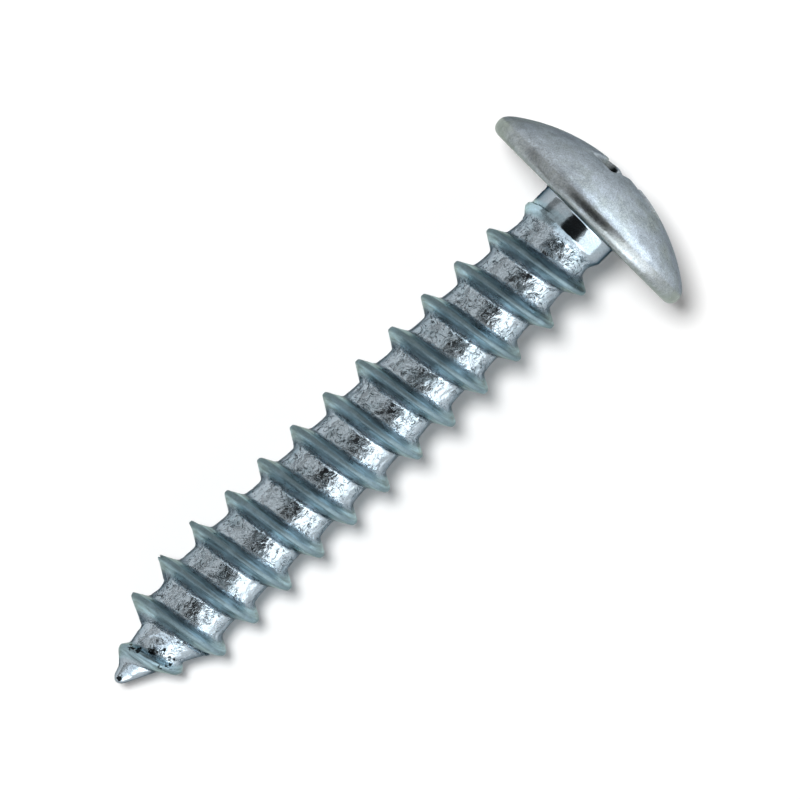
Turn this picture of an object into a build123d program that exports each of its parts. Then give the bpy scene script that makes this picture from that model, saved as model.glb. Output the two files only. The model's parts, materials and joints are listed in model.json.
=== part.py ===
from build123d import *
from math import asin, atan2, cos, degrees, pi, radians, sin, tan
import os

# A steel tapping screw with a truss head, a cross recess, a coarse thread up to
# the neck and a gimlet point. It is one piece: headed and rolled from wire.
# It is drawn along its own axis first: the bearing face of the head is at x = 0,
# the point is at +x and the side that faces up when the screw lies is at +z.

# Head
head_diameter = 9.28
head_height = 2.33
rim_height = 0.68  # from the bearing face up to the corner between side and dome
rim_round = 0.55  # reach of the round between its side and the bearing face
rim_draft = 4.0  # degrees that the side leans in toward the dome

# Plain neck between head and thread
neck_diameter = 3.35
neck_length = 0.75
neck_fillet = 0.1
neck_slope = 30.0  # degrees of the cone from the neck down to the thread root
neck_overlap = 0.1  # depth to which that cone goes on inside the threaded rod

# Shank and thread
shank_length = 24.0  # bearing face to the end of the point
thread_diameter = 4.2
root_diameter = 2.93
pitch = 25.4 / 15
crest_width = 0.13
leading_flank = 31.0  # degrees off the radial direction, on the side of the point
trailing_flank = 28.0  # the same on the side of the head
root_rise = 0.08  # the root climbs by this much toward the thread after it
thread_phase = 0.16  # where the crest crosses the +y side, after the bearing face
run_in_start = 0.2  # the thread has no height here
run_in_length = 1.75  # and its whole height this much further on

# Gimlet point
core_taper = 3.3  # length over which the core narrows to the point
core_swell = 0.95  # exponent of that curve, below 1 for a fuller outline
core_blunt = 0.38  # the curve is cut off this far before its own end
crest_taper = 3.0
crest_swell = 0.8
tip_round = 0.2
tip_angle = 55.0  # half angle of the blunt cone behind the rounded tip

# Cross recess
recess_span = 4.2  # over two wings, where they meet the dome
recess_depth = 2.15  # from the top of the head to the floor of the wings
wing_slope = 26.5  # degrees by which the ends of the wings lean in
wing_width = 1.05
wing_taper = 3.5  # degrees by which each side of a wing leans in
corner_width = 1.64  # across the flats between the wings, at the top of the head
corner_taper = 4.5
floor_radius = 0.8
floor_angle = 28.0
recess_turn = 25.0  # a wing points this far from +z toward -y

# Accuracy of the helical edges
points_per_turn = 12

# Radii, and the sphere that the dome of the head is part of
head_radius = head_diameter / 2
neck_radius = neck_diameter / 2
thread_radius = thread_diameter / 2
root_radius = root_diameter / 2
corner_radius = head_radius - (rim_height - rim_round) * tan(radians(rim_draft))
dome_rise = head_height - rim_height
dome_radius = (corner_radius**2 + dome_rise**2) / (2 * dome_rise)

# Section of the thread over one pitch, as distances along the axis from the crest
# and heights above the root. It starts at the foot of the leading flank before it.
whole_height = thread_radius - root_radius
half_crest = crest_width / 2
lead_reach = half_crest + whole_height * tan(radians(leading_flank))
trail_reach = half_crest + (whole_height - root_rise) * tan(radians(trailing_flank))
section = [
    (lead_reach - pitch, 0.0),
    (-trail_reach, root_rise),
    (-half_crest, whole_height),
    (half_crest, whole_height),
]


def widening(distance, blunt, taper, swell):
    """Part of the whole radius that is reached at this distance from the tip."""
    least = 0.004
    share = (distance + blunt) / (taper + blunt)
    return min(1.0, max(share, least) ** swell)


def core_radius(x):
    return root_radius * widening(shank_length - x, core_blunt, core_taper, core_swell)


def thread_growth(x):
    """Part of the whole height that the thread has where its crest is at x."""
    run_in = min(1.0, max(0.0, (x - run_in_start) / run_in_length))
    crest = thread_radius * widening(shank_length - x, 0.0, crest_taper, crest_swell)
    return run_in * min(1.0, max(0.0, (crest - core_radius(x)) / whole_height))


def thread_point(turn, index):
    """Point of the thread's surface after this many turns, on one section point."""
    turn += index // len(section)
    along, height = section[index % len(section)]
    crest_x = thread_phase + pitch * turn
    x = crest_x + along
    r = core_radius(x) + height * thread_growth(crest_x)
    angle = 2 * pi * turn
    return Vector(x, r * cos(angle), r * sin(angle))


def thread_edge(turn, index):
    """One turn of the helix that a section point follows."""
    steps = [i / points_per_turn for i in range(points_per_turn + 1)]
    small = 1e-4
    ends = [
        (thread_point(turn + t + small, index) - thread_point(turn + t - small, index))
        * (1 / (2 * small))
        for t in (0, 1)
    ]
    points = [thread_point(turn + t, index) for t in steps]
    return Edge.make_spline(points, tangents=ends, parameters=steps, scale=False)


def end_faces(turn, edge):
    """The stair-shaped face from a helix to the axis, and the flat one beside it."""
    outline = [thread_point(turn, i) for i in range(len(section) + 1)]
    low = Vector(outline[0].X, 0, 0)
    high = Vector(outline[-1].X, 0, 0)
    stair = Face.make_surface_from_curves(edge, Edge.make_line(low, high))
    flat = Face(Wire.make_polygon([low, *outline, high], close=True))
    return [stair, flat]


def threaded_rod():
    """Core and thread, from inside the head to beyond the point."""
    first = 0
    last = int((shank_length + pitch) / pitch) + 1
    rows = []
    for turn in range(first, last + 1):
        rows.append([thread_edge(turn, i) for i in range(len(section))])
    faces = end_faces(first, rows[0][0]) + end_faces(last, rows[-1][0])
    for row, after in zip(rows, rows[1:]):
        edges = row + [after[0]]
        for left, right in zip(edges, edges[1:]):
            faces.append(Face.make_surface_from_curves(left, right))
    return Solid(Shell(faces))


def revolved(outline):
    return revolve(make_face(outline), Axis.X)


def head_and_neck():
    # half the dome's arc, as an angle from the axis
    half = asin(corner_radius / dome_radius) / 2
    top = (-head_height, 0)
    middle = (-head_height + dome_radius * (1 - cos(half)), dome_radius * sin(half))
    corner = (-rim_height, corner_radius)
    side = (-rim_round, head_radius)
    edge = (0, head_radius - rim_round)
    nook = (0, neck_radius + neck_fillet)
    start = (neck_fillet, neck_radius)
    end = (neck_length, neck_radius)
    sunk = root_radius - neck_overlap
    foot = neck_length + (neck_radius - sunk) / tan(radians(neck_slope))
    outline = [
        ThreePointArc(top, middle, corner),
        Line(corner, side),
        Bezier(side, (0, head_radius), edge),
        Line(edge, nook),
        Bezier(nook, (0, neck_radius), start),
        Line(start, end),
        Line(end, (foot, sunk)),
        Line((foot, sunk), (foot, 0)),
        Line((foot, 0), top),
    ]
    return revolved(outline)


def tip_cutter():
    """Everything around and beyond the blunt end of the point."""
    half = radians(tip_angle)
    end = shank_length
    reach = 3 * tip_round
    meet = (end - tip_round * (1 - sin(half)), tip_round * cos(half))
    wide = (meet[0] - reach, meet[1] + reach * tan(half))
    turn = (pi / 2 - half) / 2
    middle = (end - tip_round * (1 - cos(turn)), tip_round * sin(turn))
    far = end + 4 * pitch
    outline = [
        ThreePointArc((end, 0), middle, meet),
        Line(meet, wide),
        Line(wide, (far, wide[1])),
        Line((far, wide[1]), (far, 0)),
        Line((far, 0), (end, 0)),
    ]
    return revolved(outline)


def tapered_bar(length, width, end_angle, side_angle, depth):
    """A bar across the axis that narrows on its way down from z = 0."""
    end = depth * tan(radians(end_angle))
    side = depth * tan(radians(side_angle))
    bar = Wedge(length, depth, width, end, side, length - end, width - side)
    return Pos(0, 0, -depth / 2) * Rot(-90, 0, 0) * bar


def cross_recess():
    """Four wings, the flats between them and a shallow cone under them."""
    above = 0.2  # the cutter stands out of the dome by this much
    mouth = dome_radius - (dome_radius**2 - (recess_span / 2) ** 2) ** 0.5
    depth = recess_depth + above
    span = recess_span + 2 * (mouth + above) * tan(radians(wing_slope))
    width = wing_width + 2 * above * tan(radians(wing_taper))
    across = corner_width + 2 * above * tan(radians(corner_taper))
    wing = tapered_bar(span, width, wing_slope, wing_taper, depth)
    other = Rot(0, 0, 90) * wing
    flats = tapered_bar(across, across, corner_taper, corner_taper, depth)
    floor_depth = floor_radius * tan(radians(floor_angle))
    floor = Pos(0, 0, -depth - floor_depth / 2) * Cone(0, floor_radius, floor_depth)
    recess = wing + other + Rot(0, 0, 45) * flats + floor
    return Pos(-head_height - above, 0, 0) * Rot(recess_turn, 0, 0) * Rot(0, -90, 0) * recess


def resting_tilt():
    """Degrees by which the lying screw points down, on its rim and one crest."""
    crests = []
    for turn in range(1, int(shank_length / pitch)):
        # the crest is lowest three quarters of a turn after the +y side
        x = thread_phase + pitch * (turn + 0.75)
        crests.append((x, core_radius(x) + whole_height * thread_growth(x)))
    tilt = 0.0
    for _ in range(8):
        # where the round of the rim touches the surface at this tilt
        part = sin(tilt) / (sin(tilt) + cos(tilt))
        foot_x = -rim_round * (1 - part) ** 2
        foot_r = head_radius - rim_round * part**2
        tilt = min(atan2(foot_r - r, x + half_crest - foot_x) for x, r in crests)
    return degrees(tilt)


screw = head_and_neck() + threaded_rod() - tip_cutter() - cross_recess()
screw = Rot(0, resting_tilt(), 0) * screw
box = screw.bounding_box()
screw = Pos(-box.center().X, -box.center().Y, -box.min.Z) * screw

os.makedirs("parts", exist_ok=True)
export_step(screw, "parts/screw.step")
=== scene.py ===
"""Draws a zinc plated truss head tapping screw as it lies on a white studio floor."""

import json
from math import cos, pi, radians, sin, tan

import bpy
import numpy as np
from bpy.props import FloatProperty, FloatVectorProperty, IntProperty, PointerProperty
from mathutils import Matrix, Vector, noise


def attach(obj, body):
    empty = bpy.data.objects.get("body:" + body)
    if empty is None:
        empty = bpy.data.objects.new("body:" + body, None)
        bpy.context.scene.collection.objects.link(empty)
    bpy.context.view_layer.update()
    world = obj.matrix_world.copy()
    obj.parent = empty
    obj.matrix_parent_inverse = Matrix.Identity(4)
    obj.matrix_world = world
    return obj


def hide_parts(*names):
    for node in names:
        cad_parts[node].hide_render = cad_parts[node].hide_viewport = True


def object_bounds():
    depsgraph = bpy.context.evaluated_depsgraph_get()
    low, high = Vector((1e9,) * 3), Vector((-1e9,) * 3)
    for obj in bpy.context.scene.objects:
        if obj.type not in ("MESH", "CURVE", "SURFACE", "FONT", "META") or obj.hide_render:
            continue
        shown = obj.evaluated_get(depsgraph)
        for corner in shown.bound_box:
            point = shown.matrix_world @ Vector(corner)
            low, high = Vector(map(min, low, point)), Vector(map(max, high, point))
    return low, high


bl_info = {
    "name": "Truss Head Screw",
    "version": (1, 0, 0),
    "blender": (4, 5, 0),
    "location": "3D View > Sidebar > Screw",
    "description": "Adds a detailed truss head tapping screw and its studio stage",
    "category": "Add Mesh",
}

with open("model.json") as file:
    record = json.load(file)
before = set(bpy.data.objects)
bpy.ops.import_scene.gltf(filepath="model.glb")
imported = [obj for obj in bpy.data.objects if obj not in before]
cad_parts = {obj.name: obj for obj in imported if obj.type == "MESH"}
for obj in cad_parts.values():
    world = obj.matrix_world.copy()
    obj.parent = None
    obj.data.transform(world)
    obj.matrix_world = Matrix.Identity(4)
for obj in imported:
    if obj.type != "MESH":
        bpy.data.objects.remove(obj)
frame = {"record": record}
CAD_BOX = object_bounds()
MM = 0.001


def mount(name):
    """Place and direction of one of the part's interfaces, in metres."""
    found = next(m for m in frame["record"]["mounts"] if m["name"] == name)
    return Vector(found["pos_m"]), Vector(found["axis"]).normalized()


HEAD_TOP, _ = mount("driver_recess")
_, SHANK_AXIS = mount("threaded_shank")


def linear(code):
    """An sRGB hex colour as linear red, green and blue."""
    parts = [int(code[i : i + 2], 16) / 255 for i in (1, 3, 5)]
    return tuple(p / 12.92 if p <= 0.04045 else ((p + 0.055) / 1.055) ** 2.4 for p in parts)


def length(name, description, millimetres):
    return FloatProperty(
        name=name, description=description, default=millimetres * MM, unit="LENGTH", precision=5
    )


def angle(name, description, degrees):
    return FloatProperty(
        name=name, description=description, default=radians(degrees), unit="ROTATION"
    )


def factor(name, description, value):
    return FloatProperty(name=name, description=description, default=value)


def colour(name, description, code):
    return FloatVectorProperty(
        name=name, description=description, default=linear(code), size=3, subtype="COLOR"
    )


class ScrewSizes(bpy.types.PropertyGroup):
    """Real sizes of the screw, along and around its own axis"""

    head_diameter: length("Head diameter", "Over the rim of the head", 9.28)
    head_height: length("Head height", "From the bearing face to the top of the dome", 2.33)
    rim_height: length("Rim height", "From the bearing face to the edge of the dome", 0.68)
    rim_round: length("Rim round", "Reach of the round under the rim", 0.44)
    rim_draft: angle("Rim draft", "Lean of the rim toward the dome", 4.0)
    dome_edge: length("Dome edge", "Reach of the round between rim and dome", 0.3)
    neck_diameter: length("Neck diameter", "Plain neck under the head", 3.35)
    neck_length: length("Neck length", "Plain neck under the head", 0.75)
    neck_fillet: length("Neck fillet", "Reach of the fillet under the head", 0.1)
    neck_slope: angle("Neck slope", "Cone from the neck to the thread root", 30.0)
    shank_length: length("Shank length", "Bearing face to the end of the point", 24.0)
    thread_diameter: length("Thread diameter", "Over the crests", 4.2)
    root_diameter: length("Root diameter", "Core between the threads", 2.93)
    pitch: length("Pitch", "Distance from crest to crest", 25.4 / 15)
    crest_width: length("Crest width", "Flat on top of the thread", 0.13)
    leading_flank: angle("Leading flank", "Flank on the side of the point", 31.0)
    trailing_flank: angle("Trailing flank", "Flank on the side of the head", 28.0)
    root_rise: length("Root rise", "Climb of the root toward the next thread", 0.08)
    root_bow: length("Root bow", "Hollow in the middle of the rolled root", 0.03)
    foot_fillet: length("Foot fillet", "Softness of the corner at the thread's foot", 0.15)
    crest_fillet: length("Crest fillet", "Softness of the corners of the crest", 0.04)
    thread_phase: length("Thread phase", "Where the crest crosses the +y side", 0.16)
    run_in_start: length("Run-in start", "The thread has no height here", 0.2)
    run_in_length: length("Run-in length", "And its whole height this much on", 1.75)
    core_taper: length("Core taper", "Length of the narrowing core", 3.3)
    core_swell: factor("Core swell", "Exponent of the core's curve at the point", 0.95)
    core_blunt: length("Core blunt", "The core's curve is cut off this early", 0.38)
    crest_taper: length("Crest taper", "Length of the narrowing thread", 3.0)
    crest_swell: factor("Crest swell", "Exponent of the crest's curve at the point", 0.8)
    tip_round: length("Tip round", "Radius of the end of the point", 0.2)
    tip_angle: angle("Tip angle", "Half angle of the cone behind that round", 55.0)
    recess_span: length("Recess span", "Over two wings, where they meet the dome", 4.2)
    recess_depth: length("Recess depth", "Top of the head to the floor of the wings", 2.15)
    wing_slope: angle("Wing slope", "Lean of the ends of the wings", 26.5)
    wing_width: length("Wing width", "Width of a wing at the top of the head", 1.05)
    wing_taper: angle("Wing taper", "Lean of the sides of the wings", 3.5)
    corner_width: length("Corner width", "Across the flats between the wings", 1.64)
    corner_taper: angle("Corner taper", "Lean of those flats", 4.5)
    corner_round: length("Corner round", "Reach of the rounds in the recess outline", 0.12)
    mouth_round: length("Mouth round", "Reach of the round along the recess edge", 0.12)
    floor_radius: length("Floor radius", "Cone in the floor of the recess", 0.8)
    floor_angle: angle("Floor angle", "Slope of that cone", 28.0)
    recess_turn: angle("Recess turn", "A wing points this far from up", 25.0)
    steps: IntProperty(name="Steps", description="Around the screw, a multiple of 32", default=128)


class ScrewWear(bpy.types.PropertyGroup):
    """Marks that rolling, plating and handling left on the screw"""

    dent_size: length("Dent size", "Across one dent in the rolled root", 0.24)
    dent_depth: length("Dent depth", "Depth of those dents", 0.03)
    crest_wave: length("Crest wave", "Unevenness of the crest, always inward", 0.02)
    crest_wave_size: length("Crest wave size", "Length of one such wave", 0.6)
    burr_turn: factor("Burr turn", "A burr stands on the crest after this many turns", 10.5)
    burr_height: length("Burr height", "How far that burr stands out", 0.13)
    lip_turn: factor("Lip turn", "The crest is worn to two thin lips here", 11.5)
    lip_height: length("Lip height", "How far those lips stand out", 0.05)
    core_shift: length("Core shift", "The core of the point lies this far off the axis", 0.1)
    pit_size: length("Pit size", "Reach of the dark pits in the point", 0.17)


class ScrewFinish(bpy.types.PropertyGroup):
    """Colours and gloss of the zinc plating"""

    thread_colour: colour("Thread colour", "Bright zinc on the rolled thread", "#B0BDC6")
    flank_colour: colour("Flank colour", "Zinc on the flanks of the thread", "#9BB3BE")
    crest_colour: colour("Crest colour", "Rubbed zinc along the crest", "#70838A")
    # this colour also paints the shade in the recess of the head
    dirt_and_shade_colour: colour("Dirt colour", "Dark residue in pits and folds", "#1B2022")
    head_colour: colour("Head colour", "Satin zinc on the tumbled head", "#ADB6BD")
    head_stain: colour("Head stain", "Greenish film on the head", "#9BA29A")
    rim_colour: colour("Rim colour", "Duller zinc round the rim", "#858B8B")
    edge_tint: colour("Edge tint", "How the film on the zinc dulls its gloss at grazing angles", "#40474C")
    flank_edge: colour("Flank edge tint", "The same on the flanks, where the film is thin", "#CDD5CA")
    thread_roughness: factor("Thread roughness", "Of the rolled roots", 0.2)
    flank_roughness: factor("Flank roughness", "Of the flanks", 0.29)
    head_roughness: factor("Head roughness", "Of the tumbled head", 0.42)
    rim_roughness: factor("Rim roughness", "Of the rim, which rubs on other screws", 0.28)
    neck_roughness: factor("Neck roughness", "Of the neck and of the very tip", 0.13)


class ScrewStage(bpy.types.PropertyGroup):
    """Camera, floor and lights of the studio"""

    view_height: length("View height", "What the photo's height spans at the screw", 29.24)
    camera_distance: length("Camera distance", "From camera to screw", 500.0)
    camera_rise: angle("Camera rise", "Angle of the view above the floor", 84.0)
    camera_roll: angle("Camera roll", "Turn of the screw in the picture", 44.965)
    aim_along: length("Aim along", "Picture centre from the bearing face", 9.37)
    aim_across: length("Aim across", "Picture centre beside the axis", 0.047)
    floor_colour: colour("Floor colour", "White paper floor", "#FAFAFA")
    sun_strength: factor("Sun strength", "Light that whitens the floor", 2.6)
    sun_spread: angle("Sun spread", "Width of that light in the sky, which softens the shadow", 12.0)
    sky_colour: colour("Sky colour", "Pale grey of the studio walls", "#AAA8A6")


def spread(start, end, count):
    """Evenly spaced values from start up to, but not including, end."""
    return start + (end - start) * np.arange(count) / count


def bend(start, corner, end, t):
    """Point at part t of the curve from start to end that leans into the corner."""
    start, corner, end = (np.asarray(p, float) for p in (start, corner, end))
    return (1 - t) ** 2 * start + 2 * t * (1 - t) * corner + t**2 * end


def soft_max(a, b, reach):
    """The larger of the two, rounded off where they differ by less than this reach."""
    return np.maximum(a, b) + np.maximum(reach - np.abs(a - b), 0) ** 2 / (4 * reach)


def soft_min(a, b, reach):
    return -soft_max(-a, -b, reach)


def smooth_step(low, high, value):
    t = np.clip((value - low) / (high - low), 0, 1)
    return t * t * (3 - 2 * t)


def widening(distance, blunt, taper, swell):
    """Part of the whole radius that is reached at this distance from the tip."""
    least = 0.004
    share = (distance + blunt) / (taper + blunt)
    return np.minimum(1.0, np.maximum(share, least) ** swell)


def core_radius(s, x):
    full = s.root_diameter / 2
    return full * widening(s.shank_length - x, s.core_blunt, s.core_taper, s.core_swell)


def whole_height(s):
    return (s.thread_diameter - s.root_diameter) / 2


def thread_growth(s, x):
    """Part of the whole height that the thread has where its crest is at x."""
    run_in = np.clip((x - s.run_in_start) / s.run_in_length, 0, 1)
    reach = widening(s.shank_length - x, 0.0, s.crest_taper, s.crest_swell)
    crest = s.thread_diameter / 2 * reach
    return run_in * np.clip((crest - core_radius(s, x)) / whole_height(s), 0, 1)


def lead_reach(s):
    return s.crest_width / 2 + whole_height(s) * tan(s.leading_flank)


def trail_reach(s):
    return s.crest_width / 2 + (whole_height(s) - s.root_rise) * tan(s.trailing_flank)


def tooth(s, along):
    """Height of one thread's flanks and crest, at distances from its middle."""
    top = whole_height(s)
    lead = top - (along - s.crest_width / 2) / tan(s.leading_flank)
    trail = top + (along + s.crest_width / 2) / tan(s.trailing_flank)
    peak = soft_min(lead, trail, s.crest_fillet)
    return soft_min(peak, np.full_like(peak, top), s.crest_fillet)


def thread_height(s, along):
    """Height over the core, at distances from the nearest crest."""
    start = lead_reach(s) - s.pitch
    land = s.pitch - lead_reach(s) - trail_reach(s)
    from_foot = np.where(along > 0, along - lead_reach(s), along - start) / land
    hollow = 4 * s.root_bow * np.clip(from_foot * (1 - from_foot), 0, 1)
    root = s.root_rise * from_foot - hollow
    ridge = np.maximum(tooth(s, along), tooth(s, along + s.pitch))
    return soft_max(root, ridge, s.foot_fillet)


def shank_radius(s, x, along, crest_x):
    """Radius of neck, thread and point."""
    rod = core_radius(s, x) + thread_height(s, along) * thread_growth(s, crest_x)
    neck = s.neck_diameter / 2 - np.maximum(x - s.neck_length, 0) * tan(s.neck_slope)
    radius = soft_max(rod, neck, s.foot_fillet / 2)
    meet_x = s.shank_length - s.tip_round * (1 - sin(s.tip_angle))
    meet_r = s.tip_round * cos(s.tip_angle)
    cone = meet_r + (meet_x - x) * tan(s.tip_angle)
    middle = s.shank_length - s.tip_round
    ball = np.sqrt(np.maximum(s.tip_round**2 - (x - middle) ** 2, 0))
    return np.where(x > meet_x, np.minimum(radius, ball), soft_min(radius, cone, s.tip_round / 2))


def thread_columns(s):
    """Distances from the crest of the mesh lines that follow the thread."""
    foot = s.foot_fillet
    edge = s.crest_width / 2
    # each mark, and the number of lines from it to the next
    marks = [
        (lead_reach(s) - s.pitch, 3),
        (lead_reach(s) - s.pitch + foot, 9),
        (-trail_reach(s) - foot, 4),
        (-trail_reach(s) + foot / 2, 5),
        (-edge - s.crest_fillet / 2, 2),
        (-edge + s.crest_fillet / 3, 2),
        (edge - s.crest_fillet / 3, 2),
        (edge + s.crest_fillet / 2, 6),
        (lead_reach(s) - foot / 2, 2),
        (lead_reach(s), 0),
    ]
    rows = [spread(a[0], b[0], a[1]) for a, b in zip(marks, marks[1:])]
    return np.concatenate(rows)


# What is stored with each vertex. Land (the rolled root and the plain neck), crest
# and rim say what kind of place it is, the fourth value is how dark it is painted: residue in the pits
# of the point and painted shade in the recess, even is 1 where it has no dents, and reach is its distance
# from the axis in mm.
VALUES = ("land", "crest", "rim", "dirt", "even", "reach")


class Skin:
    """Vertices and faces of the screw, in its own frame, with a few values per vertex."""

    def __init__(self):
        self.points = []
        self.values = []
        self.faces = []
        self.parts = []

    def add(self, points, **values):
        """Adds points with their values and returns their numbers."""
        first = len(self.points)
        points = np.asarray(points, float)
        self.points += [tuple(p) for p in points]
        values["reach"] = np.hypot(points[:, 1], points[:, 2]) / MM
        columns = [np.broadcast_to(values.get(title, 0.0), len(points)) for title in VALUES]
        self.values += list(zip(*columns))
        return np.arange(first, len(self.points))

    def face(self, corners, part):
        """Adds a face; corners that have run together count once."""
        corners = list(dict.fromkeys(int(c) for c in corners))
        if len(corners) > 2:
            self.faces.append(corners)
            self.parts.append(part)

    def band(self, ring, after, part):
        """Faces between two rings that run the same way round."""
        for i in range(len(ring)):
            n = (i + 1) % len(ring)
            self.face((ring[i], ring[n], after[n], after[i]), part)

    def fan(self, ring, middle, part):
        for i in range(len(ring)):
            self.face((ring[i], ring[(i + 1) % len(ring)], middle), part)


# Numbers of the two materials
HEAD, SHANK = 0, 1

# The last ring of the shank lies this far before the tip, in radii of the tip's round
TIP_CAP = 0.25


def ring_points(x, radius, steps):
    theta = 2 * pi * np.arange(steps) / steps
    x = np.broadcast_to(x, steps)
    return np.stack([x, radius * np.cos(theta), radius * np.sin(theta)], 1)


def roughness_at(points, size, seed):
    """Smooth noise from -1 to 1 with lumps of this size, the same on each run."""
    # far enough apart for patterns that have nothing in common
    shift = Vector((17.0, 5.0, 11.0)) * seed
    return np.array([noise.noise(Vector(p) / size + shift) for p in points])


def tip_share(s, x):
    """How even the end of the point is; 0 on the thread before it."""
    most = 0.6
    left = s.shank_length - x
    return most * smooth_step(0.75 * s.crest_taper, 0.4 * s.crest_taper, left)


def burrs(wear, turn, along):
    """How far a burr and, a turn later, two worn lips stand out of the crest."""
    burr_width = 0.025  # in turns
    lips_width = 0.04
    half_groove = 0.03 * MM  # half the width of the groove between the lips
    burr = wear.burr_height * np.exp(-(((turn - wear.burr_turn) / burr_width) ** 2))
    lips = wear.lip_height * np.exp(-(((turn - wear.lip_turn) / lips_width) ** 2))
    return burr + lips * np.sign(np.abs(along) - half_groove)


def core_offset(s, wear, x):
    """Sideways offset of the core in the point: rolling pushed it toward +y."""
    # it grows up to the first of these distances from the tip, stays whole up to the
    # second and is gone at the third
    grown, whole, gone = 1.5 * MM, 3.2 * MM, 4.2 * MM
    left = s.shank_length - x
    return wear.core_shift * smooth_step(0.0, grown, left) * smooth_step(gone, whole, left)


def pits(points, size):
    """Dark pits on the upper side of the point."""
    # x and y of each in mm, in the screw's own frame
    places = (
        (22.7, -0.5),
        (22.56, -0.2),
        (22.35, 0.0),
        (22.25, 0.21),
        (21.94, 0.47),
        (21.93, 0.84),
        (22.17, 0.96),
        (22.46, 0.75),
        (23.78, 0.02),
    )
    x, y, z = points.T
    found = np.zeros(len(points))
    for pit_x, pit_y in places:
        away = np.hypot(x - pit_x * MM, y - pit_y * MM) / size
        found = np.maximum(found, np.exp(-(away**2)) * (z > 0))
    return found


def thread_places(s, along, crest_x):
    """How far the thread stands out, as a part of its height, and how much is land and crest."""
    ridge = tooth(s, along)
    grown = thread_growth(s, crest_x)
    land = 1 - smooth_step(s.root_rise, s.root_rise + 2 * s.foot_fillet, ridge)
    crest = smooth_step(0.8, 1.0, ridge / whole_height(s))
    # where the thread has hardly grown, all of it is land and nothing is crest
    land = 1 - (1 - land) * smooth_step(0.05, 0.4, grown)
    crest = crest * smooth_step(0.3, 0.8, grown)
    return ridge / whole_height(s) * grown, land, crest


def shank(s, wear, skin):
    """Adds neck, thread and point; returns the first and the last ring."""
    steps = s.steps
    columns = thread_columns(s)
    start_x = s.neck_length / 2
    end_x = s.shank_length - s.tip_round * TIP_CAP
    first = int(np.floor((start_x - lead_reach(s) - s.thread_phase) / s.pitch * steps)) - 1
    last = int(np.ceil((end_x + s.pitch - lead_reach(s) - s.thread_phase) / s.pitch * steps)) + 1
    turn = np.arange(first, last + 1) / steps
    crest_x = (s.thread_phase + s.pitch * turn)[:, None] + 0 * columns[None, :]
    along = columns[None, :] + 0 * crest_x
    x = np.clip(crest_x + along, start_x, end_x)
    radius = shank_radius(s, x, x - crest_x, crest_x)
    theta = (2 * pi * turn)[:, None] + 0 * along
    points = np.stack([x, radius * np.cos(theta), radius * np.sin(theta)], -1)

    risen, land, crest = thread_places(s, along, crest_x)
    flat = points.reshape(-1, 3)
    dents = roughness_at(flat, wear.dent_size, 1).reshape(x.shape)
    waves = roughness_at(flat, wear.crest_wave_size, 2).reshape(x.shape)
    neck_share = 1 - smooth_step(0.9 * s.neck_length, 1.5 * s.neck_length, x)
    even = np.maximum(neck_share, tip_share(s, x))
    inward = wear.dent_depth * smooth_step(0.0, 0.5, dents) * land * (1 - even)
    inward += wear.crest_wave * smooth_step(-0.2, 0.7, waves) * crest
    inward -= burrs(wear, turn[:, None], along) * crest
    inside = (x > start_x) & (x < end_x)
    scale = 1 - inward * inside / np.maximum(radius, s.tip_round)
    points[..., 1:] *= scale[..., None]
    points[..., 1] += core_offset(s, wear, x) * (1 - risen)

    neck_ring = skin.add(ring_points(start_x, s.neck_diameter / 2, steps), land=1.0, even=1.0)
    end_r = float(shank_radius(s, np.array([end_x]), np.array([0.0]), np.array([end_x]))[0])
    end_ring = skin.add(ring_points(end_x, end_r, steps), land=1.0, even=1.0)
    free = np.flatnonzero(inside.reshape(-1))
    flat = points.reshape(-1, 3)[free]
    numbers = np.zeros(x.size, int)
    numbers[free] = skin.add(
        flat,
        land=land.reshape(-1)[free],
        crest=crest.reshape(-1)[free],
        even=even.reshape(-1)[free],
        dirt=pits(flat, wear.pit_size),
    )
    numbers = numbers.reshape(x.shape)
    around = (np.arange(first, last + 1) % steps)[:, None] + np.zeros_like(numbers)
    # what lies before the first ring or beyond the last one runs together with it
    numbers = np.where(x <= start_x, neck_ring[around], numbers)
    numbers = np.where(x >= end_x, end_ring[around], numbers)
    beyond = end_ring[(np.arange(last + 1, last + 1 + steps)) % steps]
    # the line after the last one is the first line, one turn on
    following = np.concatenate([numbers[steps:, 0], beyond])
    numbers = np.concatenate([numbers, following[:, None]], 1)
    for here, there in zip(numbers, numbers[1:]):
        for j in range(len(columns)):
            skin.face((here[j], here[j + 1], there[j + 1], there[j]), SHANK)
    return neck_ring, end_ring


def point_end(s, skin, ring):
    """Closes the rounded end of the point, from the last ring of the shank."""
    middle = s.shank_length - s.tip_round
    start = np.arccos(1 - TIP_CAP)
    for turn in (start * 2 / 3, start / 3):
        x = middle + s.tip_round * cos(turn)
        points = ring_points(x, s.tip_round * sin(turn), s.steps)
        after = skin.add(points, land=1.0, even=1.0)
        skin.band(ring, after, SHANK)
        ring = after
    pole = skin.add([(s.shank_length, 0, 0)], land=1.0, even=1.0)[0]
    skin.fan(ring, pole, SHANK)


def dome_facts(s):
    """Radius of the dome's sphere and of its edge."""
    edge = s.head_diameter / 2 - (s.rim_height - s.rim_round) * tan(s.rim_draft)
    rise = s.head_height - s.rim_height
    return (edge**2 + rise**2) / (2 * rise), edge


def dome_depth(s, radius):
    """How far the dome lies below its top at this distance from the axis."""
    sphere, _ = dome_facts(s)
    return sphere - np.sqrt(sphere**2 - radius**2)


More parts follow.
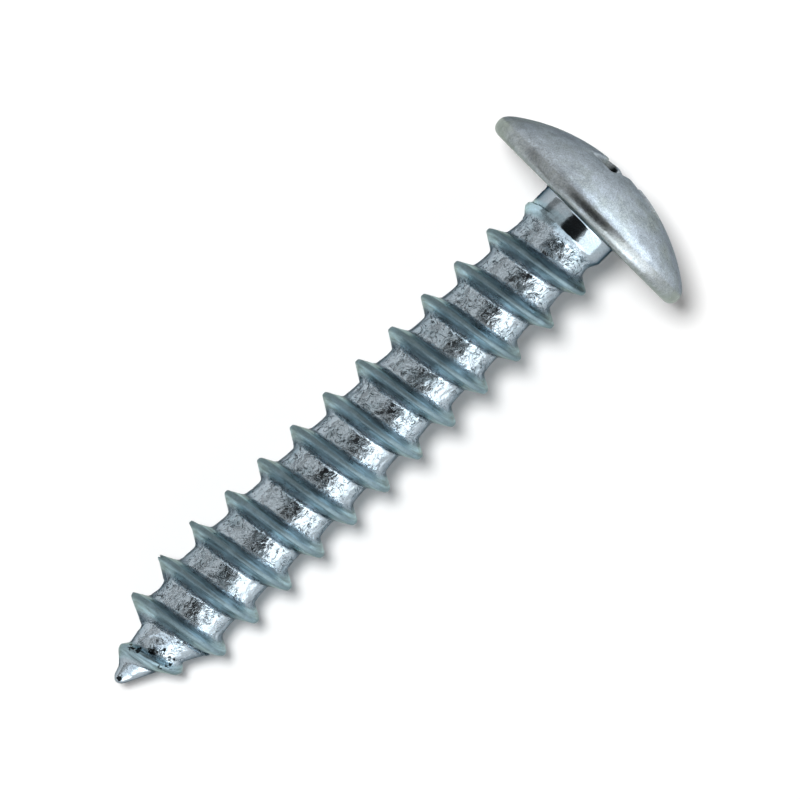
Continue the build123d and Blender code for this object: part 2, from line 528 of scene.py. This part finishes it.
def recess_outline(s, depth):
    """Outline of the recess at a depth below the top of the head, from wing to wing."""
    mouth = float(dome_depth(s, s.recess_span / 2))
    end = s.recess_span / 2 + (mouth - depth) * tan(s.wing_slope)
    side = s.wing_width / 2 - depth * tan(s.wing_taper)
    flat = s.corner_width / 2 - depth * tan(s.corner_taper)
    inner = flat * 2**0.5 - side
    half = flat / 2**0.5
    corners = [(half, -half), (inner, -side), (end, -side), (end, side), (inner, side), (half, half)]
    corners = [np.array(c) for c in corners]
    # reach of the round in each corner, then mesh steps along each side and in each round
    trims = [0.0, s.corner_round / 2, s.corner_round, s.corner_round, s.corner_round / 2, 0.0]
    spans = [2, 5, 4, 5, 2]
    arcs = [0, 3, 4, 4, 3]
    wing = []
    for i, (a, b) in enumerate(zip(corners, corners[1:])):
        way = (b - a) / np.linalg.norm(b - a)
        start = a + way * trims[i]
        if arcs[i]:
            back = (corners[i - 1] - a) / np.linalg.norm(corners[i - 1] - a)
            entry = a + back * trims[i]
            wing += [bend(entry, a, start, t) for t in spread(0, 1, arcs[i])]
        stop = b - way * trims[i + 1]
        wing += [start + (stop - start) * t for t in spread(0, 1, spans[i])]
    wing = np.array(wing)
    whole = []
    for quarter in range(4):
        c, n = cos(quarter * pi / 2), sin(quarter * pi / 2)
        whole.append(wing @ np.array([[c, n], [-n, c]]))
    return np.concatenate(whole)


def floor_depth(s, radius):
    """Depth of the recess's floor at this distance from the axis."""
    return s.recess_depth + np.maximum(s.floor_radius - radius, 0) * tan(s.floor_angle)


def painted_notch_shade(points):
    """Painted shade on the walls that show through the wing that points up."""
    _, y, z = points.T / MM
    # a strip beside the axis, in mm, that fades out toward the end of that wing
    across = smooth_step(-0.66, -0.58, y) * smooth_step(-0.19, -0.27, y)
    upward = smooth_step(1.6, 1.2, z)
    return across * upward


def recess(s, skin):
    """Adds the cross recess; returns its outer ring on the dome and that ring's points."""
    steps = s.steps
    top = recess_outline(s, 0.0)
    bottom = recess_outline(s, s.recess_depth)

    def wall(depth):
        return top + (bottom - top) * (depth / s.recess_depth)[:, None]

    # where the leaning walls meet the dome and the floor, closer with each round
    mouth = np.zeros(len(top))
    base = np.full(len(top), s.recess_depth)
    for _ in range(6):
        mouth = dome_depth(s, np.linalg.norm(wall(mouth), axis=1))
        base = floor_depth(s, np.linalg.norm(wall(base), axis=1))

    # a wing starts at the first point, so the outline is turned and renumbered
    aim = pi / 2 + s.recess_turn
    turned = np.array([[cos(aim), sin(aim)], [-sin(aim), cos(aim)]])
    shift = int(round(aim / (2 * pi) * steps)) - steps // 8

    def placed(flat, depth):
        yz = flat @ turned
        points = np.concatenate([(depth - s.head_height)[:, None], yz], 1)
        return np.roll(points, shift, axis=0)

    edge = wall(mouth)
    ahead = np.roll(edge, -1, axis=0) - np.roll(edge, 1, axis=0)
    outward = np.stack([ahead[:, 1], -ahead[:, 0]], 1)
    outward /= np.linalg.norm(outward, axis=1)[:, None]
    on_dome = edge + outward * s.mouth_round
    start = placed(on_dome, dome_depth(s, np.linalg.norm(on_dome, axis=1)))
    corner = placed(edge, mouth)
    below = mouth + s.mouth_round
    end = placed(wall(below), below)
    outer = skin.add(start)
    ring = outer
    for t in (0.25, 0.5, 0.75, 1.0):
        points = bend(start, corner, end, t)
        # painted shade of the notch, growing along the round into the recess
        after = skin.add(points, dirt=painted_notch_shade(points) * t)
        skin.band(after, ring, HEAD)
        ring = after
    # painted shade at the foot of the walls, on the floor and in its middle, darker with depth
    foot_shade, floor_shade, middle_shade = 0.3, 0.6, 0.8
    rows = 6
    for row in range(1, rows + 1):
        depth = below + (base - below) * row / rows
        points = placed(wall(depth), depth)
        # painted shade that deepens from the mouth toward the foot of the walls
        after = skin.add(points, dirt=np.maximum(foot_shade * row / rows, painted_notch_shade(points)))
        skin.band(after, ring, HEAD)
        ring = after
    foot = wall(base)
    for part in (0.8, 0.6, 0.4, 0.2):
        flat = foot * part
        depth = floor_depth(s, np.linalg.norm(flat, axis=1))
        after = skin.add(placed(flat, depth), dirt=floor_shade)
        skin.band(after, ring, HEAD)
        ring = after
    deepest = float(floor_depth(s, 0.0)) - s.head_height
    skin.fan(ring[::-1], skin.add([(deepest, 0, 0)], dirt=middle_shade)[0], HEAD)
    return outer, start


def head(s, skin, neck_ring):
    """Adds dome, rim and bearing face, from the recess to the ring on the neck."""
    steps = s.steps
    ring, inner = recess(s, skin)
    _, edge_r = dome_facts(s)
    head_r = s.head_diameter / 2
    neck_r = s.neck_diameter / 2
    corner = np.array([-s.rim_height, edge_r])
    side = np.array([-s.rim_round, head_r])
    dome_r = edge_r - s.dome_edge
    on_dome = np.array([float(dome_depth(s, dome_r)) - s.head_height, dome_r])
    outer = ring_points(0.0, dome_r, steps)
    rows = 16
    for row in range(1, rows + 1):
        # the rings lie a little closer together toward the rim
        part = (row / rows) ** 0.9
        points = inner + (outer - inner) * part
        reach = np.linalg.norm(points[:, 1:], axis=1)
        points[:, 0] = dome_depth(s, reach) - s.head_height
        after = skin.add(points)
        skin.band(after, ring, HEAD)
        ring = after
    # the round of the dome's edge ends just above the round under the rim
    on_side = corner + (side - corner) * 0.9
    outline = [bend(on_dome, corner, on_side, t) for t in (0.17, 0.33, 0.5, 0.67, 0.83, 1.0)]
    outline.append(side)
    outline += [bend(side, (0, head_r), (0, head_r - s.rim_round), t) for t in spread(0, 1, 8)[1:]]
    flat = np.linspace(head_r - s.rim_round, neck_r + s.neck_fillet, 6)
    outline += [np.array([0.0, r]) for r in flat]
    nook = (0, neck_r + s.neck_fillet)
    start = (s.neck_fillet, neck_r)
    outline += [bend(nook, (0, neck_r), start, t) for t in (0.33, 0.66, 1.0)]
    for x, radius in outline:
        # lower part of the side, the round under it and the edge of the bearing face
        rim = float(radius > head_r - 1.2 * s.rim_round and x > -0.8 * s.rim_height)
        plain = float(radius < neck_r + 0.5 * s.neck_fillet)
        after = skin.add(ring_points(x, radius, steps), rim=rim, land=plain, even=plain)
        skin.band(after, ring, HEAD if x <= 0 else SHANK)
        ring = after
    skin.band(neck_ring, ring, SHANK)


def own_frame(s):
    """Matrix from the screw's own frame, x along its axis, to the part's frame."""
    across = Vector((0, 1, 0))
    up = SHANK_AXIS.cross(across)
    turn = Matrix((SHANK_AXIS, across, up)).transposed().to_4x4()
    bearing = HEAD_TOP + SHANK_AXIS * s.head_height
    return Matrix.Translation(bearing) @ turn


def make_mesh(name, skin, matrix):
    """Turns the collected points into a mesh with its values as attributes."""
    mesh = bpy.data.meshes.new(name)
    mesh.from_pydata(skin.points, [], skin.faces)
    mesh.transform(matrix)
    for column, title in enumerate(VALUES):
        attribute = mesh.attributes.new(title, "FLOAT", "POINT")
        attribute.data.foreach_set("value", [float(v[column]) for v in skin.values])
    mesh.polygons.foreach_set("material_index", skin.parts)
    mesh.polygons.foreach_set("use_smooth", [True] * len(skin.faces))
    # edges that turn by more than this stay crisp
    mesh.set_sharp_from_angle(angle=radians(38))
    mesh.update()
    return mesh


def node(tree, kind, settings=None, links=None, output=0):
    """Adds a node with its settings and links, and returns one of its outputs.

    A setting is named by a property, or by an input's name or number. A link is
    named by the input that it goes to.
    """
    made = tree.nodes.new("ShaderNode" + kind)
    for key, value in (settings or {}).items():
        if isinstance(key, str) and hasattr(made, key):
            setattr(made, key, value)
        else:
            made.inputs[key].default_value = value
    for key, source in (links or {}).items():
        tree.links.new(source, made.inputs[key])
    return made.outputs[output] if made.outputs else None


def new_material(name):
    material = bpy.data.materials.new(name)
    material.use_nodes = True
    material.node_tree.nodes.clear()
    return material, material.node_tree


def solid(rgb):
    return (*rgb, 1.0)


# Settings for nodes. Mix goes by its input 0: from input 2 to input 3 for numbers, and
# for colours from input 6 to input 7, with the result in its output 2.
ADD = {"operation": "ADD"}
SUBTRACT = {"operation": "SUBTRACT"}
MULTIPLY = {"operation": "MULTIPLY"}


def lumps(size, detail=3.0, distortion=0.0):
    """For noise with lumps of this size in mm. It lies mostly between 0.3 and 0.7."""
    return {"Scale": 1 / (size * MM), "Detail": detail, "Roughness": 0.6, "Distortion": distortion}


def span(start, end, low, high):
    """For turning values from start to end into values from low to high."""
    return {"From Min": start, "From Max": end, "To Min": low, "To Max": high}


def toward(rgb):
    """For a blend that ends in this colour."""
    return {"data_type": "RGBA", 7: solid(rgb)}


def shaded(tree, shade, pattern, change):
    """A colour that a pattern makes darker and lighter."""
    amount = node(tree, "MapRange", change, {"Value": pattern})
    return node(tree, "VectorMath", {"operation": "SCALE"}, {0: shade, "Scale": amount})


def bright_zinc(finish):
    """Clear zinc plating over a rolled steel thread.

    Rolling leaves the roots shiny but dented and finely cracked, so they break up
    what they mirror. The flanks are duller and bluer, and scored along the thread.
    """
    material, tree = new_material("zinc_plating_on_rolled_thread")
    place = node(tree, "TexCoord", output="Object")
    land = node(tree, "Attribute", {"attribute_name": "land"}, output="Fac")
    crest = node(tree, "Attribute", {"attribute_name": "crest"}, output="Fac")
    even = node(tree, "Attribute", {"attribute_name": "even"}, output="Fac")
    dirt = node(tree, "Attribute", {"attribute_name": "dirt"}, output="Fac")
    reach = node(tree, "Attribute", {"attribute_name": "reach"}, output="Fac")
    dents = node(tree, "TexNoise", lumps(0.27, 3.0, 0.9), {"Vector": place})
    patches = node(tree, "TexNoise", lumps(0.7), {"Vector": place})
    specks = node(tree, "TexNoise", lumps(0.16), {"Vector": place})
    wander = node(tree, "TexNoise", lumps(0.42, 5.0, 1.4), {"Vector": place})
    # the grain of real plating is finer: here it is as coarse as it needs to show
    grain = node(tree, "TexNoise", lumps(0.06), {"Vector": place})

    # the rolled roots are dented and cracked, the point less so and the neck not at all
    rolled = node(tree, "Math", {**SUBTRACT, 0: 1.0}, {1: even})
    rolled = node(tree, "Math", MULTIPLY, {0: land, 1: rolled})

    # cracks run where a wide noise crosses its middle value, and only in some patches
    off_middle = node(tree, "Math", {**SUBTRACT, 1: 0.5}, {0: wander})
    off_middle = node(tree, "Math", {"operation": "ABSOLUTE"}, {0: off_middle})
    line = node(tree, "MapRange", span(0.004, 0.022, 1.0, 0.0), {"Value": off_middle})
    broken = node(tree, "MapRange", span(0.41, 0.56, 0.0, 1.0), {"Value": patches})
    cracks = node(tree, "Math", MULTIPLY, {0: line, 1: broken})
    cracks = node(tree, "Math", MULTIPLY, {0: cracks, 1: rolled})

    # scores along the thread, about 0.17 mm wide across the flank and 1.4 mm long
    across = node(tree, "Math", {**MULTIPLY, 1: 6 * MM}, {0: reach})
    across = node(tree, "CombineXYZ", None, {"X": across})
    around = node(tree, "VectorMath", {"operation": "SCALE", "Scale": 0.7}, {0: place})
    pressed = node(tree, "VectorMath", ADD, {0: across, 1: around})
    scores = node(tree, "TexNoise", lumps(1.0, 4.0), {"Vector": pressed})

    light = node(tree, "MapRange", span(0.35, 0.65, 0.45, 1.45), {"Value": scores})
    scored = {"operation": "SCALE", 0: finish.flank_colour}
    shade = node(tree, "VectorMath", scored, {"Scale": light})
    shade = node(tree, "Mix", toward(finish.thread_colour), {0: land, 6: shade}, 2)
    # the neck, and in part the point, is a little darker than the rolled roots
    shade = shaded(tree, shade, even, span(0.0, 1.0, 1.0, 0.82))
    shade = node(tree, "Mix", toward(finish.crest_colour), {0: crest, 6: shade}, 2)
    shade = shaded(tree, shade, grain, span(0.3, 0.7, 0.85, 1.15))
    stain = node(tree, "MapRange", span(0.5, 0.7, 0.0, 0.5), {"Value": patches})
    shade = node(tree, "Mix", toward(finish.flank_colour), {0: stain, 6: shade}, 2)

    # the specks make the outlines of the pits ragged
    ragged = node(tree, "MapRange", span(0.3, 0.7, -0.55, 0.55), {"Value": specks})
    pitted = node(tree, "Math", ADD, {0: dirt, 1: ragged})
    pitted = node(tree, "MapRange", span(0.7, 0.85, 0.0, 1.0), {"Value": pitted})
    filled = node(tree, "Math", {**MULTIPLY, 1: 0.95}, {0: cracks})
    soil = node(tree, "Math", {"operation": "MAXIMUM"}, {0: pitted, 1: filled})
    shade = node(tree, "Mix", toward(finish.dirt_and_shade_colour), {0: soil, 6: shade}, 2)

    duller = span(0.0, 1.0, finish.flank_roughness, finish.thread_roughness)
    gloss = node(tree, "MapRange", duller, {"Value": land})
    cloudy = node(tree, "MapRange", span(0.3, 0.7, -0.05, 0.1), {"Value": patches})
    gloss = node(tree, "Math", ADD, {0: gloss, 1: cloudy})
    rubbed = node(tree, "MapRange", span(0.0, 1.0, 0.0, 0.25), {"Value": crest})
    gloss = node(tree, "Math", ADD, {0: gloss, 1: rubbed})
    gloss = node(tree, "Mix", {"data_type": "FLOAT", 3: finish.neck_roughness}, {0: even, 2: gloss})

    depth = node(tree, "Math", {**MULTIPLY, 1: 0.3}, {0: cracks})
    relief = node(tree, "Math", SUBTRACT, {0: dents, 1: depth})
    strength = node(tree, "MapRange", span(0.0, 1.0, 0.15, 1.0), {"Value": rolled})
    normal = node(tree, "Bump", {"Distance": 0.04 * MM}, {"Height": relief, "Strength": strength})
    strength = node(tree, "MapRange", span(0.0, 1.0, 0.8, 0.2), {"Value": even})
    links = {"Height": grain, "Strength": strength, "Normal": normal}
    normal = node(tree, "Bump", {"Distance": 0.003 * MM}, links)
    tints = {**toward(finish.edge_tint), 6: solid(finish.flank_edge)}
    edge = node(tree, "Mix", tints, {0: land}, 2)
    links = {"Base Color": shade, "Roughness": gloss, "Normal": normal, "Specular Tint": edge}
    shader = node(tree, "BsdfPrincipled", {"Metallic": 1.0}, links)
    node(tree, "OutputMaterial", None, {"Surface": shader})
    return material


def satin_zinc(finish):
    """Clear zinc plating over a forged and tumbled head.

    Tumbling leaves a fine matt grain, so the dome shows soft light and no mirror
    image, with a faint greenish film in patches. The rim is rubbed smoother. The recess is painted darker
    toward its floor, as painted shade.
    """
    material, tree = new_material("zinc_plating_on_tumbled_head")
    place = node(tree, "TexCoord", output="Object")
    rim = node(tree, "Attribute", {"attribute_name": "rim"}, output="Fac")
    dirt = node(tree, "Attribute", {"attribute_name": "dirt"}, output="Fac")
    cloud = node(tree, "TexNoise", lumps(1.4, 4.0), {"Vector": place})
    blotch = node(tree, "TexNoise", lumps(0.6, 3.0, 0.5), {"Vector": place})
    mottle = node(tree, "TexNoise", lumps(0.22), {"Vector": place})
    # the grain from tumbling is finer: here it is as coarse as it needs to show
    grain = node(tree, "TexNoise", lumps(0.055), {"Vector": place})

    film = node(tree, "MapRange", span(0.45, 0.7, 0.0, 0.7), {"Value": cloud})
    filmed = {**toward(finish.head_stain), 6: solid(finish.head_colour)}
    shade = node(tree, "Mix", filmed, {0: film}, 2)
    worn = node(tree, "MapRange", span(0.35, 0.65, 0.2, 0.9), {"Value": mottle})
    worn = node(tree, "Math", MULTIPLY, {0: rim, 1: worn})
    shade = node(tree, "Mix", toward(finish.rim_colour), {0: worn, 6: shade}, 2)
    shade = shaded(tree, shade, blotch, span(0.35, 0.65, 0.86, 1.1))
    shade = shaded(tree, shade, mottle, span(0.3, 0.7, 0.88, 1.12))
    shade = shaded(tree, shade, grain, span(0.3, 0.7, 0.68, 1.3))
    # painted shade in the recess, darker toward its floor, in the residue colour
    shade = node(tree, "Mix", toward(finish.dirt_and_shade_colour), {0: dirt, 6: shade}, 2)

    middle = finish.head_roughness
    gloss = node(tree, "MapRange", span(0.3, 0.7, middle - 0.06, middle + 0.06), {"Value": cloud})
    gloss = node(tree, "Mix", {"data_type": "FLOAT", 3: finish.rim_roughness}, {0: rim, 2: gloss})
    strength = node(tree, "MapRange", span(0.3, 0.7, 0.3, 0.6), {"Value": cloud})
    normal = node(tree, "Bump", {"Distance": 0.02 * MM}, {"Height": mottle, "Strength": strength})
    strength = node(tree, "MapRange", span(0.0, 1.0, 0.85, 0.4), {"Value": rim})
    links = {"Height": grain, "Strength": strength, "Normal": normal}
    normal = node(tree, "Bump", {"Distance": 0.016 * MM}, links)
    tints = {**toward(finish.flank_edge), 6: solid(finish.edge_tint)}
    edge = node(tree, "Mix", tints, {0: rim}, 2)
    links = {"Base Color": shade, "Roughness": gloss, "Normal": normal, "Specular Tint": edge}
    shader = node(tree, "BsdfPrincipled", {"Metallic": 1.0}, links)
    node(tree, "OutputMaterial", None, {"Surface": shader})
    return material


def paper(stage):
    """White paper: matt, with a faint tooth, so it holds a soft shadow."""
    material, tree = new_material("white_paper")
    place = node(tree, "TexCoord", output="Object")
    # real fibres are finer: here they are as coarse as they need to show
    fibres = node(tree, "TexNoise", lumps(0.5), {"Vector": place})
    strength = node(tree, "MapRange", span(0.3, 0.7, 0.3, 0.6), {"Value": fibres})
    normal = node(tree, "Bump", {"Distance": 0.001 * MM}, {"Height": fibres, "Strength": strength})
    settings = {"Base Color": solid(stage.floor_colour), "Roughness": 0.9, "Specular IOR Level": 0.0}
    shader = node(tree, "BsdfPrincipled", settings, {"Normal": normal})
    node(tree, "OutputMaterial", None, {"Surface": shader})
    return material


def add_object(name, data):
    made = bpy.data.objects.new(name, data)
    bpy.context.scene.collection.objects.link(made)
    return made


def paper_floor(stage):
    half = 1.5  # half its width in metres
    mesh = bpy.data.meshes.new("studio_floor")
    corners = [(-half, -half, 0), (half, -half, 0), (half, half, 0), (-half, half, 0)]
    mesh.from_pydata(corners, [], [(0, 1, 2, 3)])
    mesh.materials.append(paper(stage))
    made = add_object("studio_floor", mesh)
    # a hair below the screw, so that the two surfaces don't share a plane
    made.location.z = -0.002 * MM


def aim(made, place, target):
    made.location = place
    made.rotation_mode = "QUATERNION"
    made.rotation_quaternion = (target - place).to_track_quat("-Z", "Y")


def direction(bearing, height):
    """From the screw, by degrees from +x toward +y and degrees above the floor."""
    turn = radians(bearing)
    rise = radians(height)
    return Vector((cos(turn) * cos(rise), sin(turn) * cos(rise), sin(rise)))


# Name of each softbox, its bearing and height in degrees, its width and tallness in
# metres, its radiance and its colour
SOFTBOXES = (
    ("key_softbox", 79, 26, 0.56, 0.3, 2.1, "#FFFFFF"),
    ("wall_softbox", 270, 45, 0.7, 0.26, 0.42, "#FFFFFF"),
    ("head_softbox", 158, 11, 0.3, 0.1, 5.6, "#EEF6FF"),
    ("point_softbox", 22, 26, 0.56, 0.24, 1.25, "#F2F8FF"),
)
SOFTBOX_DISTANCE = 0.3  # metres from the screw


def softbox(name, bearing, height, width, tall, radiance, tint):
    """A lit panel that faces the screw, for the metal alone."""
    lamp = bpy.data.lights.new(name, "AREA")
    lamp.shape = "RECTANGLE"
    lamp.size = width
    lamp.size_y = tall
    lamp.energy = radiance * pi * width * tall
    lamp.color = linear(tint)
    made = add_object(name, lamp)
    target = sum(CAD_BOX, Vector()) / 2
    aim(made, target + direction(bearing, height) * SOFTBOX_DISTANCE, target)
    made.visible_camera = False
    # the paper doesn't get its light, so the sun alone shapes the shadow
    made.visible_diffuse = False


def floor_light(stage):
    """A soft sun for the floor alone: the metal doesn't mirror it."""
    lamp = bpy.data.lights.new("floor_light", "SUN")
    lamp.energy = stage.sun_strength
    lamp.angle = stage.sun_spread
    made = add_object("floor_light", lamp)
    aim(made, direction(bearing=303.6, height=78.6), Vector())
    made.visible_glossy = False


def sky(stage):
    """Grey studio walls, with a dark patch overhead where the camera hangs."""
    world = bpy.data.worlds.new("studio_room")
    world.use_nodes = True
    tree = world.node_tree
    tree.nodes.clear()
    way = node(tree, "TexCoord", output="Generated")
    # directions scaled so that the edge of the patch, an oval that reaches further
    # toward the point, is at length 1
    oval = {"Location": (-0.34, -0.1, 0.0), "Scale": (1.74, 2.2, 0.0)}
    flat = node(tree, "Mapping", oval, {"Vector": way})
    away = node(tree, "VectorMath", {"operation": "LENGTH"}, {0: flat}, "Value")
    shade = node(tree, "MapRange", span(0.95, 1.05, 0.05, 1.0), {"Value": away})
    background = node(tree, "Background", {"Color": solid(stage.sky_colour)}, {"Strength": shade})
    node(tree, "OutputWorld", None, {"Surface": background})
    bpy.context.scene.world = world


def camera(stage, sizes):
    """Camera at the photo's angle: almost straight down, leaning toward the point."""
    lens = bpy.data.cameras.new("camera")
    lens.sensor_width = 36.0
    lens.lens = lens.sensor_width * stage.camera_distance / stage.view_height
    lens.clip_start = 0.01
    lens.clip_end = 10.0
    made = add_object("camera", lens)
    bearing = HEAD_TOP + SHANK_AXIS * sizes.head_height
    target = bearing + SHANK_AXIS * stage.aim_along + Vector((0, stage.aim_across, 0))
    back = Vector((cos(stage.camera_rise), 0, sin(stage.camera_rise)))
    # the head, toward -x, lies to the upper right of the picture
    across = Vector((0, 1, 0))
    to_head = back.cross(across)
    right = to_head * cos(stage.camera_roll) + across * sin(stage.camera_roll)
    up = to_head * sin(stage.camera_roll) - across * cos(stage.camera_roll)
    turn = Matrix((right, up, back)).transposed().to_4x4()
    made.matrix_world = Matrix.Translation(target + back * stage.camera_distance) @ turn
    bpy.context.scene.camera = made


class SCREW_OT_build(bpy.types.Operator):
    """Add the screw, with its thread, head and recess in one closed mesh"""

    bl_idname = "screw.build"
    bl_label = "Build screw"

    def execute(self, context):
        sizes = context.scene.screw_sizes
        if sizes.steps % 32:
            raise ValueError("steps has to be a multiple of 32")
        skin = Skin()
        neck_ring, end_ring = shank(sizes, context.scene.screw_wear, skin)
        point_end(sizes, skin, end_ring)
        head(sizes, skin, neck_ring)
        mesh = make_mesh("truss_head_screw", skin, own_frame(sizes))
        mesh.materials.append(satin_zinc(context.scene.screw_finish))
        mesh.materials.append(bright_zinc(context.scene.screw_finish))
        made = add_object("truss_head_screw", mesh)
        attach(made, "root")
        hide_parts("screw")
        return {"FINISHED"}


class SCREW_OT_stage(bpy.types.Operator):
    """Add floor, lights and camera"""

    bl_idname = "screw.stage"
    bl_label = "Set the stage"

    def execute(self, context):
        stage = context.scene.screw_stage
        paper_floor(stage)
        sky(stage)
        floor_light(stage)
        for facts in SOFTBOXES:
            softbox(*facts)
        camera(stage, context.scene.screw_sizes)
        context.scene.view_settings.view_transform = "Standard"
        return {"FINISHED"}


class SCREW_PT_panel(bpy.types.Panel):
    """Sidebar with the sizes, the finish and the stage of the screw"""

    bl_idname = "SCREW_PT_panel"
    bl_label = "Truss head screw"
    bl_space_type = "VIEW_3D"
    bl_region_type = "UI"
    bl_category = "Screw"

    def draw(self, context):
        self.layout.operator("screw.build")
        self.layout.operator("screw.stage")
        scene = context.scene
        for group in (scene.screw_sizes, scene.screw_wear, scene.screw_finish, scene.screw_stage):
            box = self.layout.box()
            for key in group.__annotations__:
                box.prop(group, key)


CLASSES = (
    ScrewSizes,
    ScrewWear,
    ScrewFinish,
    ScrewStage,
    SCREW_OT_build,
    SCREW_OT_stage,
    SCREW_PT_panel,
)
GROUPS = {
    "screw_sizes": ScrewSizes,
    "screw_wear": ScrewWear,
    "screw_finish": ScrewFinish,
    "screw_stage": ScrewStage,
}


def register():
    for cls in CLASSES:
        bpy.utils.register_class(cls)
    for key, group in GROUPS.items():
        setattr(bpy.types.Scene, key, PointerProperty(type=group))


def unregister():
    for key in GROUPS:
        delattr(bpy.types.Scene, key)
    for cls in reversed(CLASSES):
        bpy.utils.unregister_class(cls)


def main():
    register()
    bpy.ops.screw.build()
    bpy.ops.screw.stage()


if __name__ == "__main__":
    main()
